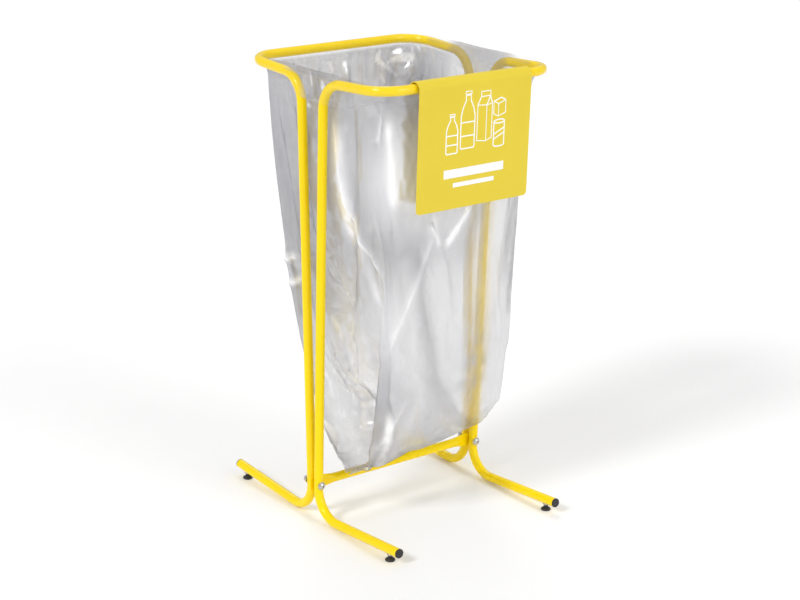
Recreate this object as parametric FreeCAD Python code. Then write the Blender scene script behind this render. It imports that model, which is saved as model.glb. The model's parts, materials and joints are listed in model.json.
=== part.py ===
import FreeCAD, Part
import math
import os

# Free-standing holder for a film bag: two identical bent-tube frames bolted back to back on a crossbar,
# a film bag whose mouth is folded out over the rim, and a sign hooked over the front of the rim.
# Millimetres. +Z up, X along the crossbar, the sign faces -Y.
# Origin: on the floor, midway between the feet.

Vector = FreeCAD.Vector
UP = Vector(0, 0, 1)
ALONG_X = Vector(1, 0, 0)
ALONG_Y = Vector(0, 1, 0)
ORIGIN = Vector(0, 0, 0)
SIDES = {"left": -1, "right": 1}
ENDS = {"front": -1, "rear": 1}

# Tube stock
TUBE_DIAMETER = 18.0
TUBE_WALL = 1.5
TUBE_RADIUS = TUBE_DIAMETER / 2
TUBE_BORE = TUBE_RADIUS - TUBE_WALL
BEND_RADIUS = 3 * TUBE_DIAMETER

# Frames
RIM_HALF_WIDTH = 200.0
RIM_HALF_DEPTH = 209.0
RIM_HEIGHT = 875.0
RIM_RISE = 9.0
RIM_POST_OFFSET = 34.6
HEEL_HALF_WIDTH = 194.0
HEEL_HEIGHT = 7.0
FOOT_REACH = 265.0
FOOT_END_HEIGHT = 24.0

# Crossbar: the ends are pressed flat, which keeps the length round the section
BOLT_HEIGHT = 73.5
PRESSED_THICKNESS = 4.0
PRESSED_HEIGHT = math.pi * (TUBE_DIAMETER - TUBE_WALL) / 2 + TUBE_WALL
PRESSED_LENGTH = 28.0
PRESSED_BEYOND_BOLT = 13.0
PRESSED_CORNER = 6.0
PRESS_TAPER = 30.0
PRESSED_CAVITY = 1.0
POST_GAP_SPARE = 0.45
POST_OFFSET_AT_BOLT = TUBE_RADIUS + PRESSED_THICKNESS / 2 + POST_GAP_SPARE

# Bolts, washers and lock nuts
BOLT_RADIUS = 4.0
BOLT_HOLE_RADIUS = 4.2
BOLT_HEAD_RADIUS = 7.2
BOLT_HEAD_HEIGHT = 4.4
BOLT_HEAD_EDGE = 1.2
BOLT_END_CHAMFER = 0.8
SOCKET_ACROSS = 5.0
SOCKET_DEPTH = 2.4
WASHER_RADIUS = 8.0
WASHER_THICKNESS = 1.6
WASHER_CHAMFER = 0.3
WASHER_SPARE = 0.3
NUT_ACROSS = 13.0
NUT_HEIGHT = 8.0
NUT_HEX_HEIGHT = 6.0
NUT_CHAMFER = 0.5
NUT_COLLAR_ROUNDING = 1.0
THREAD_SPARE = 0.03
BOLT_END_BEYOND_NUT = 2.5

# End caps
CAP_THICKNESS = 3.0
CAP_EDGE_RADIUS = 1.6
CAP_PLUG_RADIUS = TUBE_BORE - 0.5
CAP_PLUG_LENGTH = 12.0
CAP_RIB_RADIUS = TUBE_BORE - 0.05
CAP_RIB_WIDTH = 1.2
CAP_RIB_SPACING = 4.0
CAP_RIB_COUNT = 3

# Levelling feet and the rivet nuts that they screw into
PAD_INSET = 26.0
PAD_RADIUS = 9.6
PAD_EDGE_HEIGHT = 2.6
PAD_BOSS_RADIUS = 4.2
PAD_BOSS_TOP = 10.5
PAD_DOME_TOP = 7.6
PAD_UNDERSIDE_BEVEL = 1.2
STEM_RADIUS = 3.0
STEM_FLOOR_GAP = 3.5
STEM_TOP = 23.0
STEM_CHAMFER = 0.6
RIVET_BODY_RADIUS = 4.5
RIVET_HOLE_RADIUS = 4.6
RIVET_FLANGE_RADIUS = 6.0
RIVET_FLANGE_THICKNESS = 0.9
RIVET_FLANGE_SPARE = 0.45
RIVET_LENGTH = 13.0

# Bag. A film is far thinner than any solid that can be handled, so the wall is FILM_WALL thick.
FILM_WALL = 1.2
FILM_CLEARANCE = 0.4
FOLD_RADIUS = TUBE_RADIUS + FILM_CLEARANCE + FILM_WALL
CUFF_DEPTH = 25.0
BAG_STRAIGHT_DEPTH = 15.0
BAG_BOTTOM = 100.0
# Height, half width, half depth and corner radius of the outside of the bag, from the top down
BAG_SECTIONS = [
    (700.0, 184.0, 176.0, 46.0),
    (500.0, 178.0, 148.0, 46.0),
    (350.0, 170.0, 118.0, 48.0),
    (217.0, 162.0, 84.0, 46.0),
    (150.0, 157.0, 50.0, 36.0),
    (BAG_BOTTOM, 154.0, 14.0, 11.0),
]
WELD_HALF_WIDTH = 150.0
WELD_HEIGHT = 12.0
WELD_THICKNESS = 2.4

# Sign: one bent sheet. The hook bears on the back of the fold, and the face leans in only so far
# that it clears the rim when it goes straight up with the bag.
SIGN_WIDTH = 260.0
SIGN_SHEET = 2.0
SIGN_FACE_LENGTH = 225.0
SIGN_LEAN = math.radians(1.3)
SIGN_HOOK_INNER_RADIUS = 13.2
SIGN_HOOK_LEG = 12.0
SIGN_GAP = 0.4
SIGN_HOOK_SLACK = (SIGN_HOOK_INNER_RADIUS - FOLD_RADIUS - SIGN_GAP) * math.sqrt(0.5)
SIGN_HOOK_CENTRE = Vector(0, -RIM_HALF_DEPTH - SIGN_HOOK_SLACK, RIM_HEIGHT - SIGN_HOOK_SLACK)
SIGN_CORNER_RADIUS = 8.0

os.makedirs("parts", exist_ok=True)


def save(name, shape):
    shape.exportStep("parts/" + name + ".step")


def rounded_path(points, radius):
    """A wire along straight runs, with a tangent arc of the given radius at every inner point."""
    edges = []
    start = points[0]
    for before, corner, after in zip(points, points[1:], points[2:]):
        back = (before - corner).normalize()
        ahead = (after - corner).normalize()
        half_angle = back.getAngle(ahead) / 2
        run_in = corner + back * (radius / math.tan(half_angle))
        run_out = corner + ahead * (radius / math.tan(half_angle))
        inward = (back + ahead).normalize()
        middle = corner + inward * (radius / math.sin(half_angle) - radius)
        edges.append(Part.LineSegment(start, run_in).toShape())
        edges.append(Part.Arc(run_in, middle, run_out).toShape())
        start = run_out
    edges.append(Part.LineSegment(start, points[-1]).toShape())
    return Part.Wire(edges)


def swept_rod(path, start, direction, radius):
    profile = Part.Wire(Part.Circle(start, direction, radius).toShape())
    return path.makePipeShell([profile], True, False)


def swept_tube(points, bend_radius, outer_radius, inner_radius):
    path = rounded_path(points, bend_radius)
    direction = (points[1] - points[0]).normalize()
    outside = swept_rod(path, points[0], direction, outer_radius)
    inside = swept_rod(path, points[0], direction, inner_radius)
    return outside.cut(inside)


def between(low, high, height):
    """The point at a height on the straight line from low to high."""
    share = (height - low.z) / (high.z - low.z)
    return low + (high - low) * share


def frame_side(side):
    """The corner points of one side of the front frame: foot end, heel, top of the post, rim corner."""
    post_height = RIM_HEIGHT - RIM_RISE
    slope = (RIM_POST_OFFSET - POST_OFFSET_AT_BOLT) / (post_height - BOLT_HEIGHT)
    heel_offset = POST_OFFSET_AT_BOLT - slope * (BOLT_HEIGHT - HEEL_HEIGHT)
    return [
        Vector(side * HEEL_HALF_WIDTH, -FOOT_REACH, FOOT_END_HEIGHT),
        Vector(side * HEEL_HALF_WIDTH, -heel_offset, HEEL_HEIGHT),
        Vector(side * RIM_HALF_WIDTH, -RIM_POST_OFFSET, post_height),
        Vector(side * RIM_HALF_WIDTH, -RIM_HALF_DEPTH, RIM_HEIGHT),
    ]


def bolt_centre(side):
    foot_end, heel, post_top, corner = frame_side(side)
    on_post = between(heel, post_top, BOLT_HEIGHT)
    return Vector(on_post.x, 0, BOLT_HEIGHT)


def foot_axis(side, end):
    """The middle of a foot tube's open end, and the direction that it points."""
    foot_end, heel, post_top, corner = frame_side(side)
    direction = (foot_end - heel).normalize()
    if end == ENDS["rear"]:
        foot_end.y = -foot_end.y
        direction.y = -direction.y
    return foot_end, direction


def tube_axis_height_at_pad():
    foot_end, heel, post_top, corner = frame_side(-1)
    rise = (foot_end.z - heel.z) / (foot_end.y - heel.y)
    return foot_end.z + rise * PAD_INSET


def pad_place(side, end):
    return Vector(side * HEEL_HALF_WIDTH, end * (FOOT_REACH - PAD_INSET), 0)


def frame(end):
    """One frame. The rear one is the front one turned half a turn about Z."""
    points = frame_side(-1) + list(reversed(frame_side(1)))
    tube = swept_tube(points, BEND_RADIUS, TUBE_RADIUS, TUBE_BORE)
    for side in SIDES.values():
        centre = bolt_centre(side)
        hole_start = Vector(centre.x, -2 * TUBE_DIAMETER, centre.z)
        tube = tube.cut(Part.makeCylinder(BOLT_HOLE_RADIUS, 4 * TUBE_DIAMETER, hole_start, ALONG_Y))
        pad_centre = pad_place(side, -1)
        rivet_hole = Part.makeCylinder(RIVET_HOLE_RADIUS, tube_axis_height_at_pad(), pad_centre, UP)
        tube = tube.cut(rivet_hole)
    if end > 0:
        tube.rotate(ORIGIN, UP, 180)
    return tube


def stadium(x, half_thickness, half_height, arc_half_angle=math.pi / 2):
    """A closed section across X of two lines or arcs joined by round ends, always with four edges."""
    if arc_half_angle >= math.pi / 2:
        straight = half_height - half_thickness
        corners = [
            Vector(x, half_thickness, straight),
            Vector(x, -half_thickness, straight),
            Vector(x, -half_thickness, -straight),
            Vector(x, half_thickness, -straight),
        ]
        top = Part.Arc(corners[0], Vector(x, 0, half_height), corners[1])
        front = Part.LineSegment(corners[1], corners[2])
        bottom = Part.Arc(corners[2], Vector(x, 0, -half_height), corners[3])
        back = Part.LineSegment(corners[3], corners[0])
    else:
        reach = half_height * math.sin(arc_half_angle)
        rise = half_height * math.cos(arc_half_angle)
        corners = [
            Vector(x, reach, rise),
            Vector(x, -reach, rise),
            Vector(x, -reach, -rise),
            Vector(x, reach, -rise),
        ]
        top = Part.Arc(corners[0], Vector(x, 0, half_height), corners[1])
        front = Part.Arc(corners[1], Vector(x, -half_height, 0), corners[2])
        bottom = Part.Arc(corners[2], Vector(x, 0, -half_height), corners[3])
        back = Part.Arc(corners[3], Vector(x, half_height, 0), corners[0])
    return Part.Wire([edge.toShape() for edge in (top, front, bottom, back)])


def round_section(x, radius):
    return stadium(x, radius, radius, math.radians(25))


def crossbar():
    """A tube along X whose two ends are pressed flat and drilled."""
    bar_end = bolt_centre(1).x + PRESSED_BEYOND_BOLT
    flat_start = bar_end - PRESSED_LENGTH
    round_end = flat_start - PRESS_TAPER
    body = Part.makeCylinder(TUBE_RADIUS, 2 * round_end, Vector(-round_end, 0, 0), ALONG_X)
    bore = Part.makeCylinder(TUBE_BORE, 2 * round_end, Vector(-round_end, 0, 0), ALONG_X)
    for side in SIDES.values():
        flat_size = (PRESSED_THICKNESS / 2, PRESSED_HEIGHT / 2)
        flat_section = stadium(side * flat_start, *flat_size)
        taper = Part.makeLoft([round_section(side * round_end, TUBE_RADIUS), flat_section], True, True)
        flat = Part.Face(flat_section).extrude(Vector(side * PRESSED_LENGTH, 0, 0))
        flat = rounded_off(flat, side * bar_end, PRESSED_CORNER)
        cavity_size = (PRESSED_CAVITY / 2, PRESSED_HEIGHT / 2 - TUBE_WALL)
        cavity_section = stadium(side * flat_start, *cavity_size)
        cavity = Part.makeLoft([round_section(side * round_end, TUBE_BORE), cavity_section], True, True)
        body = body.fuse([taper, flat])
        bore = bore.fuse(cavity)
    bar = body.cut(bore).removeSplitter()
    for side in SIDES.values():
        hole_start = Vector(bolt_centre(side).x, -TUBE_DIAMETER, 0)
        bar = bar.cut(Part.makeCylinder(BOLT_HOLE_RADIUS, 2 * TUBE_DIAMETER, hole_start, ALONG_Y))
    bar.translate(Vector(0, 0, BOLT_HEIGHT))
    return bar


def rounded_off(plate, end_x, radius):
    """Rounds the two outer corners of a plate in the XZ plane whose end is at end_x."""
    inward = -math.copysign(1, end_x)
    for side in (-1, 1):
        corner = Vector(end_x, 0, side * PRESSED_HEIGHT / 2)
        centre = corner + Vector(inward * radius, 0, -side * radius)
        low = Vector(min(corner.x, centre.x), -PRESSED_THICKNESS, min(corner.z, centre.z))
        block = Part.makeBox(radius, 2 * PRESSED_THICKNESS, radius, low)
        disc_start = Vector(centre.x, -PRESSED_THICKNESS, centre.z)
        disc = Part.makeCylinder(radius, 2 * PRESSED_THICKNESS, disc_start, ALONG_Y)
        plate = plate.cut(block.cut(disc))
    return plate


def turned(outline):
    """A solid of revolution about Z, from a list of edges that starts and ends on the axis."""
    edges = [edge.toShape() for edge in outline]
    closing = Part.LineSegment(edges[-1].lastVertex().Point, edges[0].firstVertex().Point).toShape()
    return Part.Face(Part.Wire(edges + [closing])).revolve(ORIGIN, UP, 360)


def dome(radius, low, high):
    """The outline of a dome: an arc from its edge at height low to its crown on the axis at height high."""
    rise = high - low
    ball = (radius**2 + rise**2) / (2 * rise)
    half_angle = math.asin(radius / ball) / 2
    middle = Vector(ball * math.sin(half_angle), 0, high - ball * (1 - math.cos(half_angle)))
    return Part.Arc(Vector(radius, 0, low), middle, Vector(0, 0, high))


def aimed(shape, place, direction):
    """Turns a shape that was made along +Z to point along direction, and puts it at place."""
    shape.Placement = FreeCAD.Placement(place, FreeCAD.Rotation(UP, direction))
    return shape


def hexagon(across, height, base):
    corner_radius = across / math.sqrt(3)
    corners = []
    for step in range(7):
        angle = math.radians(60 * step)
        corners.append(base + Vector(corner_radius * math.cos(angle), corner_radius * math.sin(angle), 0))
    return Part.Face(Part.makePolygon(corners)).extrude(Vector(0, 0, height))


def clamp_face():
    """How far from the middle plane the washers lie against the posts."""
    return POST_OFFSET_AT_BOLT + TUBE_RADIUS + WASHER_SPARE


def bolt(side):
    """Domed socket head at the front, plain shank standing for the thread."""
    under_head = clamp_face() + WASHER_THICKNESS
    shank_length = 2 * under_head + NUT_HEIGHT + BOLT_END_BEYOND_NUT
    head = turned(
        [
            Part.LineSegment(ORIGIN, Vector(BOLT_HEAD_RADIUS, 0, 0)),
            Part.LineSegment(Vector(BOLT_HEAD_RADIUS, 0, 0), Vector(BOLT_HEAD_RADIUS, 0, BOLT_HEAD_EDGE)),
            dome(BOLT_HEAD_RADIUS, BOLT_HEAD_EDGE, BOLT_HEAD_HEIGHT),
        ]
    )
    socket_base = Vector(0, 0, BOLT_HEAD_HEIGHT - SOCKET_DEPTH)
    head = head.cut(hexagon(SOCKET_ACROSS, 2 * SOCKET_DEPTH, socket_base))
    shank = Part.makeCylinder(BOLT_RADIUS, shank_length, ORIGIN, -UP)
    shank = shank.makeChamfer(BOLT_END_CHAMFER, rings_at(shank, -shank_length))
    centre = bolt_centre(side)
    return aimed(head.fuse(shank), Vector(centre.x, -under_head, centre.z), -ALONG_Y)


def rings_at(shape, height):
    """The edges of a shape that lie flat at a height."""
    boxes = [(edge, edge.BoundBox) for edge in shape.Edges]
    return [edge for edge, box in boxes if abs(box.ZMin - height) < 0.01 and abs(box.ZMax - height) < 0.01]


def washer(side, end):
    disc = Part.makeCylinder(WASHER_RADIUS, WASHER_THICKNESS)
    disc = disc.makeChamfer(WASHER_CHAMFER, rings_at(disc, WASHER_THICKNESS))
    disc = disc.cut(Part.makeCylinder(BOLT_HOLE_RADIUS, WASHER_THICKNESS))
    centre = bolt_centre(side)
    return aimed(disc, Vector(centre.x, end * clamp_face(), centre.z), ALONG_Y * end)


def lock_nut(side):
    """Hexagon with both faces chamfered, and the round collar that holds the locking ring."""
    body = hexagon(NUT_ACROSS, NUT_HEX_HEIGHT, ORIGIN)
    drum = Part.makeCylinder(NUT_ACROSS / math.sqrt(3), NUT_HEX_HEIGHT)
    drum = drum.makeChamfer(NUT_CHAMFER, rings_at(drum, 0) + rings_at(drum, NUT_HEX_HEIGHT))
    collar = Part.makeCylinder(NUT_ACROSS / 2 - NUT_CHAMFER, NUT_HEIGHT)
    collar = collar.makeFillet(NUT_COLLAR_ROUNDING, rings_at(collar, NUT_HEIGHT))
    nut = body.common(drum).fuse(collar)
    nut = nut.cut(Part.makeCylinder(BOLT_RADIUS + THREAD_SPARE, NUT_HEIGHT))
    centre = bolt_centre(side)
    return aimed(nut, Vector(centre.x, clamp_face() + WASHER_THICKNESS, centre.z), ALONG_Y)


def end_cap(side, end):
    """A disc with a rounded edge outside the tube and a ribbed plug inside it."""
    disc = Part.makeCylinder(TUBE_RADIUS, CAP_THICKNESS)
    disc = disc.makeFillet(CAP_EDGE_RADIUS, rings_at(disc, CAP_THICKNESS))
    cap = disc.fuse(Part.makeCylinder(CAP_PLUG_RADIUS, CAP_PLUG_LENGTH, ORIGIN, -UP))
    for rib in range(CAP_RIB_COUNT):
        rib_low = -CAP_PLUG_LENGTH + CAP_RIB_WIDTH + rib * CAP_RIB_SPACING
        cap = cap.fuse(Part.makeCylinder(CAP_RIB_RADIUS, CAP_RIB_WIDTH, Vector(0, 0, rib_low)))
    place, direction = foot_axis(side, end)
    return aimed(cap, place, direction)


def foot_pad(side, end):
    """Mushroom-shaped pad: flat underside, thin edge, domed top and a boss round the stem."""
    underside_edge = Vector(PAD_RADIUS - PAD_UNDERSIDE_BEVEL, 0, 0)
    edge_low = Vector(PAD_RADIUS, 0, PAD_UNDERSIDE_BEVEL)
    edge_high = Vector(PAD_RADIUS, 0, PAD_EDGE_HEIGHT)
    pad = turned(
        [
            Part.LineSegment(ORIGIN, underside_edge),
            Part.LineSegment(underside_edge, edge_low),
            Part.LineSegment(edge_low, edge_high),
            dome(PAD_RADIUS, PAD_EDGE_HEIGHT, PAD_DOME_TOP),
        ]
    )
    pad = pad.fuse(Part.makeCylinder(PAD_BOSS_RADIUS, PAD_BOSS_TOP))
    pad = pad.cut(Part.makeCylinder(STEM_RADIUS, PAD_BOSS_TOP, Vector(0, 0, STEM_FLOOR_GAP)))
    pad.translate(pad_place(side, end))
    return pad


def foot_stem(side, end):
    """Plain rod standing for the thread, moulded into the pad."""
    stem = Part.makeCylinder(STEM_RADIUS, STEM_TOP - STEM_FLOOR_GAP, Vector(0, 0, STEM_FLOOR_GAP))
    stem = stem.makeChamfer(STEM_CHAMFER, rings_at(stem, STEM_TOP))
    stem.translate(pad_place(side, end))
    return stem


def rivet_nut(side, end):
    """Sleeve set in the underside of the foot tube, with a thin flange below it."""
    flange_top = tube_axis_height_at_pad() - TUBE_RADIUS - RIVET_FLANGE_SPARE
    flange = Part.makeCylinder(RIVET_FLANGE_RADIUS, RIVET_FLANGE_THICKNESS)
    sleeve = Part.makeCylinder(RIVET_BODY_RADIUS, RIVET_LENGTH)
    nut = flange.fuse(sleeve).cut(Part.makeCylinder(STEM_RADIUS + THREAD_SPARE, RIVET_LENGTH))
    nut.translate(pad_place(side, end) + Vector(0, 0, flange_top - RIVET_FLANGE_THICKNESS))
    return nut


def rounded_rectangle(half_width, half_depth, corner_radius, height):
    """A closed wire of four straight edges and four arcs at one height."""
    straight_x = half_width - corner_radius
    straight_y = half_depth - corner_radius
    diagonal = corner_radius * math.sqrt(0.5)
    edges = []
    previous_end = None
    first_start = None
    for quarter, (sx, sy) in enumerate([(1, 1), (-1, 1), (-1, -1), (1, -1)]):
        centre = Vector(sx * straight_x, sy * straight_y, height)
        to_side = centre + Vector(sx * corner_radius, 0, 0)
        to_end = centre + Vector(0, sy * corner_radius, 0)
        start, finish = (to_side, to_end) if quarter % 2 == 0 else (to_end, to_side)
        middle = centre + Vector(sx * diagonal, sy * diagonal, 0)
        if previous_end is None:
            first_start = start
        else:
            edges.append(Part.LineSegment(previous_end, start).toShape())
        edges.append(Part.Arc(start, middle, finish).toShape())
        previous_end = finish
    edges.append(Part.LineSegment(previous_end, first_start).toShape())
    return Part.Wire(edges)


def rim_outline(offset, height):
    """The rim's centre line in plan, moved out by offset."""
    return rounded_rectangle(
        RIM_HALF_WIDTH + offset, RIM_HALF_DEPTH + offset, BEND_RADIUS + offset, height
    )


def ring(outer_wire, inner_wire, height):
    outside = Part.Face(outer_wire).extrude(Vector(0, 0, height))
    inside = Part.Face(inner_wire).extrude(Vector(0, 0, height))
    return outside.cut(inside)


def bag():
    """Open-topped bag that narrows to a weld, with its mouth turned out over the rim as a cuff."""
    near = TUBE_RADIUS + FILM_CLEARANCE
    far = FOLD_RADIUS
    mouth = (RIM_HALF_WIDTH - near, RIM_HALF_DEPTH - near, BEND_RADIUS - near)
    sections = [(RIM_HEIGHT, *mouth), (RIM_HEIGHT - BAG_STRAIGHT_DEPTH, *mouth)] + BAG_SECTIONS
    outer = [rounded_rectangle(wide, deep, radius, z) for z, wide, deep, radius in sections]
    inner = []
    for z, wide, deep, radius in sections:
        inside_z = z + FILM_WALL if z == BAG_BOTTOM else z
        inside_size = (wide - FILM_WALL, deep - FILM_WALL, radius - FILM_WALL)
        inner.append(rounded_rectangle(*inside_size, inside_z))
    body = Part.makeLoft(outer, True, True).cut(Part.makeLoft(inner, True, True))

    centre_line = rim_outline(0, RIM_HEIGHT)
    last_side = centre_line.Edges[-1]
    start = last_side.valueAt(last_side.FirstParameter)
    along = last_side.tangentAt(last_side.FirstParameter)
    path = Part.Wire([last_side] + centre_line.Edges[:-1])
    fold = swept_rod(path, start, along, far).cut(swept_rod(path, start, along, near))
    reach = RIM_HALF_DEPTH + 2 * far
    lower_half = Part.makeBox(2 * reach, 2 * reach, 2 * far, Vector(-reach, -reach, RIM_HEIGHT - 2 * far))
    fold = fold.cut(lower_half)

    cuff_bottom = RIM_HEIGHT - CUFF_DEPTH
    cuff = ring(rim_outline(far, cuff_bottom), rim_outline(near, cuff_bottom), CUFF_DEPTH)

    weld_low = Vector(-WELD_HALF_WIDTH, -WELD_THICKNESS / 2, BAG_BOTTOM - WELD_HEIGHT)
    weld = Part.makeBox(2 * WELD_HALF_WIDTH, WELD_THICKNESS, WELD_HEIGHT, weld_low)
    return body.fuse([fold, cuff, weld]).removeSplitter()


def sign():
    """One sheet: a leaning face, a half turn over the rim and a short leg behind it."""
    centre = SIGN_HOOK_CENTRE
    outer_radius = SIGN_HOOK_INNER_RADIUS + SIGN_SHEET
    to_face = Vector(0, -math.cos(SIGN_LEAN), -math.sin(SIGN_LEAN))
    down_face = Vector(0, math.sin(SIGN_LEAN), -math.cos(SIGN_LEAN)) * SIGN_FACE_LENGTH
    down_leg = Vector(0, 0, -SIGN_HOOK_LEG)
    outer_face = centre + to_face * outer_radius
    inner_face = centre + to_face * SIGN_HOOK_INNER_RADIUS
    outer_leg = centre + ALONG_Y * outer_radius
    inner_leg = centre + ALONG_Y * SIGN_HOOK_INNER_RADIUS
    outline = [
        Part.LineSegment(outer_face + down_face, outer_face),
        Part.Arc(outer_face, centre + UP * outer_radius, outer_leg),
        Part.LineSegment(outer_leg, outer_leg + down_leg),
        Part.LineSegment(outer_leg + down_leg, inner_leg + down_leg),
        Part.LineSegment(inner_leg + down_leg, inner_leg),
        Part.Arc(inner_leg, centre + UP * SIGN_HOOK_INNER_RADIUS, inner_face),
        Part.LineSegment(inner_face, inner_face + down_face),
        Part.LineSegment(inner_face + down_face, outer_face + down_face),
    ]
    profile = Part.Face(Part.Wire([edge.toShape() for edge in outline]))
    profile.translate(Vector(-SIGN_WIDTH / 2, 0, 0))
    sheet = profile.extrude(Vector(SIGN_WIDTH, 0, 0))
    bottom = (outer_face + down_face).z
    corners = [edge for edge in sheet.Edges if is_sheet_corner(edge, bottom)]
    return sheet.makeFillet(SIGN_CORNER_RADIUS, corners)


def is_sheet_corner(edge, bottom):
    box = edge.BoundBox
    return box.XLength < 0.01 and edge.Length < SIGN_SHEET + 0.01 and box.ZMin < bottom + 1


for end_name, end in ENDS.items():
    save(end_name + "_frame", frame(end))
save("crossbar", crossbar())
for side_name, side in SIDES.items():
    save(side_name + "_bolt", bolt(side))
    save(side_name + "_lock_nut", lock_nut(side))
    for end_name, end in ENDS.items():
        corner_name = end_name + "_" + side_name
        save(corner_name + "_washer", washer(side, end))
        save(corner_name + "_end_cap", end_cap(side, end))
        save(corner_name + "_rivet_nut", rivet_nut(side, end))
        save(corner_name + "_foot_pad", foot_pad(side, end))
        save(corner_name + "_foot_stem", foot_stem(side, end))
save("bag", bag())
save("sign_panel", sign())
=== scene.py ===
"""Looks of the bag holder: powder-coated tube frames, a clear film bag over the rim and a printed sign."""
import json
import math

import bpy
import numpy as np
from mathutils import Matrix, Vector, noise


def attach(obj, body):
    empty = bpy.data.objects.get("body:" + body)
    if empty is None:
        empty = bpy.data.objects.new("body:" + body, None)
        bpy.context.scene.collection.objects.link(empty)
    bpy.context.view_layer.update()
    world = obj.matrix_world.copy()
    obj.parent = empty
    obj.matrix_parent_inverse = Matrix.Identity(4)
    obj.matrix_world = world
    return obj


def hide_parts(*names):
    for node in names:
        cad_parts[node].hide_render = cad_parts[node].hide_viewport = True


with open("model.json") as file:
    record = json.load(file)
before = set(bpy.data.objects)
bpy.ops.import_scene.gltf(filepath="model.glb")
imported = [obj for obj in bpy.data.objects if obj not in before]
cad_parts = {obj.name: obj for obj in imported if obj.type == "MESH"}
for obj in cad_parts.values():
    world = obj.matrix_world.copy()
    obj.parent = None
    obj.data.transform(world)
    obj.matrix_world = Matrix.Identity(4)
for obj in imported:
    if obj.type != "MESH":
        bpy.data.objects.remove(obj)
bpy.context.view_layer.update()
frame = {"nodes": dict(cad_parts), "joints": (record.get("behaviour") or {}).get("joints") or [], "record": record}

# ---------------------------------------------------------------- camera, floor and light
CAMERA_PLACE = Vector((-2.158, -2.767, 1.537))
CAMERA_AZIMUTH = math.radians(-38.06)
CAMERA_ELEVATION = math.radians(17.82)
CAMERA_ROLL = math.radians(0.74)
CAMERA_LENS_MM = 85.26
FLOOR_SIZE = 60.0
FLOOR_COLOUR = (0.97, 0.97, 0.97, 1)
# Radiance of the studio walls at the horizon and of its ceiling, and how far up the ceiling begins
WALL_LIGHT = 0.50
CEILING_LIGHT = 0.62
CEILING_FROM = 0.8
# Name, azimuth, elevation, strength and width of each lamp
LAMPS = [("key", -85, 38, 1.25, 14), ("fill", 15, 28, 0.95, 34), ("back", 150, 50, 0.45, 26)]


def make_camera():
    data = bpy.data.cameras.new("camera")
    data.lens = CAMERA_LENS_MM
    data.sensor_width = 36.0
    data.clip_end = 100.0
    camera = bpy.data.objects.new("camera", data)
    turn = Matrix.Rotation(CAMERA_AZIMUTH, 4, "Z")
    tilt = Matrix.Rotation(math.pi / 2 - CAMERA_ELEVATION, 4, "X")
    roll = Matrix.Rotation(CAMERA_ROLL, 4, "Z")
    camera.matrix_world = Matrix.Translation(CAMERA_PLACE) @ turn @ tilt @ roll
    bpy.context.scene.collection.objects.link(camera)
    bpy.context.scene.camera = camera


def make_lamp(name, azimuth, elevation, strength, width):
    """A distant soft lamp. Azimuth is measured from the front towards the right, all angles in degrees."""
    data = bpy.data.lights.new(name, "SUN")
    data.energy = strength
    data.angle = math.radians(width)
    lamp = bpy.data.objects.new(name, data)
    across = math.cos(math.radians(elevation))
    towards = Vector(
        (
            math.sin(math.radians(azimuth)) * across,
            -math.cos(math.radians(azimuth)) * across,
            math.sin(math.radians(elevation)),
        )
    )
    lamp.rotation_euler = towards.to_track_quat("Z", "Y").to_euler()
    bpy.context.scene.collection.objects.link(lamp)


def make_studio():
    world = bpy.data.worlds.new("studio")
    world.use_nodes = True
    background = world.node_tree.nodes["Background"]
    background.inputs["Color"].default_value = (1, 1, 1, 1)
    tree = world.node_tree
    direction = tree.nodes.new("ShaderNodeTexCoord")
    parts = tree.nodes.new("ShaderNodeSeparateXYZ")
    ramp = tree.nodes.new("ShaderNodeMapRange")
    ramp.interpolation_type = "SMOOTHSTEP"
    ramp.inputs["From Max"].default_value = CEILING_FROM
    ramp.inputs["To Min"].default_value = WALL_LIGHT
    ramp.inputs["To Max"].default_value = CEILING_LIGHT
    tree.links.new(direction.outputs["Generated"], parts.inputs["Vector"])
    tree.links.new(parts.outputs["Z"], ramp.inputs["Value"])
    tree.links.new(ramp.outputs["Result"], background.inputs["Strength"])
    bpy.context.scene.world = world
    bpy.context.scene.view_settings.view_transform = "Standard"

    mesh = bpy.data.meshes.new("floor")
    half = FLOOR_SIZE / 2
    corners = [(-half, -half, 0), (half, -half, 0), (half, half, 0), (-half, half, 0)]
    mesh.from_pydata(corners, [], [(0, 1, 2, 3)])
    floor = bpy.data.objects.new("floor", mesh)
    bpy.context.scene.collection.objects.link(floor)
    material, shader = new_material("floor")
    shader.inputs["Base Color"].default_value = FLOOR_COLOUR
    shader.inputs["Roughness"].default_value = 0.9
    mesh.materials.append(material)

    for lamp in LAMPS:
        make_lamp(*lamp)


# ---------------------------------------------------------------- materials
# A noise texture mostly lies between these values
NOISE_LOW = 0.3
NOISE_HIGH = 0.7
GRAIN_STRENGTH = 0.5


def new_material(name):
    material = bpy.data.materials.new(name)
    material.use_nodes = True
    return material, material.node_tree.nodes["Principled BSDF"]


def add_node(material, kind, **settings):
    node = material.node_tree.nodes.new(kind)
    for key, value in settings.items():
        if key in node.inputs:
            node.inputs[key].default_value = value
        else:
            setattr(node, key, value)
    return node


def join(material, source, target):
    material.node_tree.links.new(source, target)


def object_noise(material, scale, detail=3.0, roughness=0.5):
    """A noise texture in the object's own coordinates. Scale is in features per metre."""
    place = add_node(material, "ShaderNodeTexCoord")
    texture = add_node(material, "ShaderNodeTexNoise")
    texture.inputs["Scale"].default_value = scale
    texture.inputs["Detail"].default_value = detail
    texture.inputs["Roughness"].default_value = roughness
    join(material, place.outputs["Object"], texture.inputs["Vector"])
    return texture.outputs["Fac"]


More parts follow.
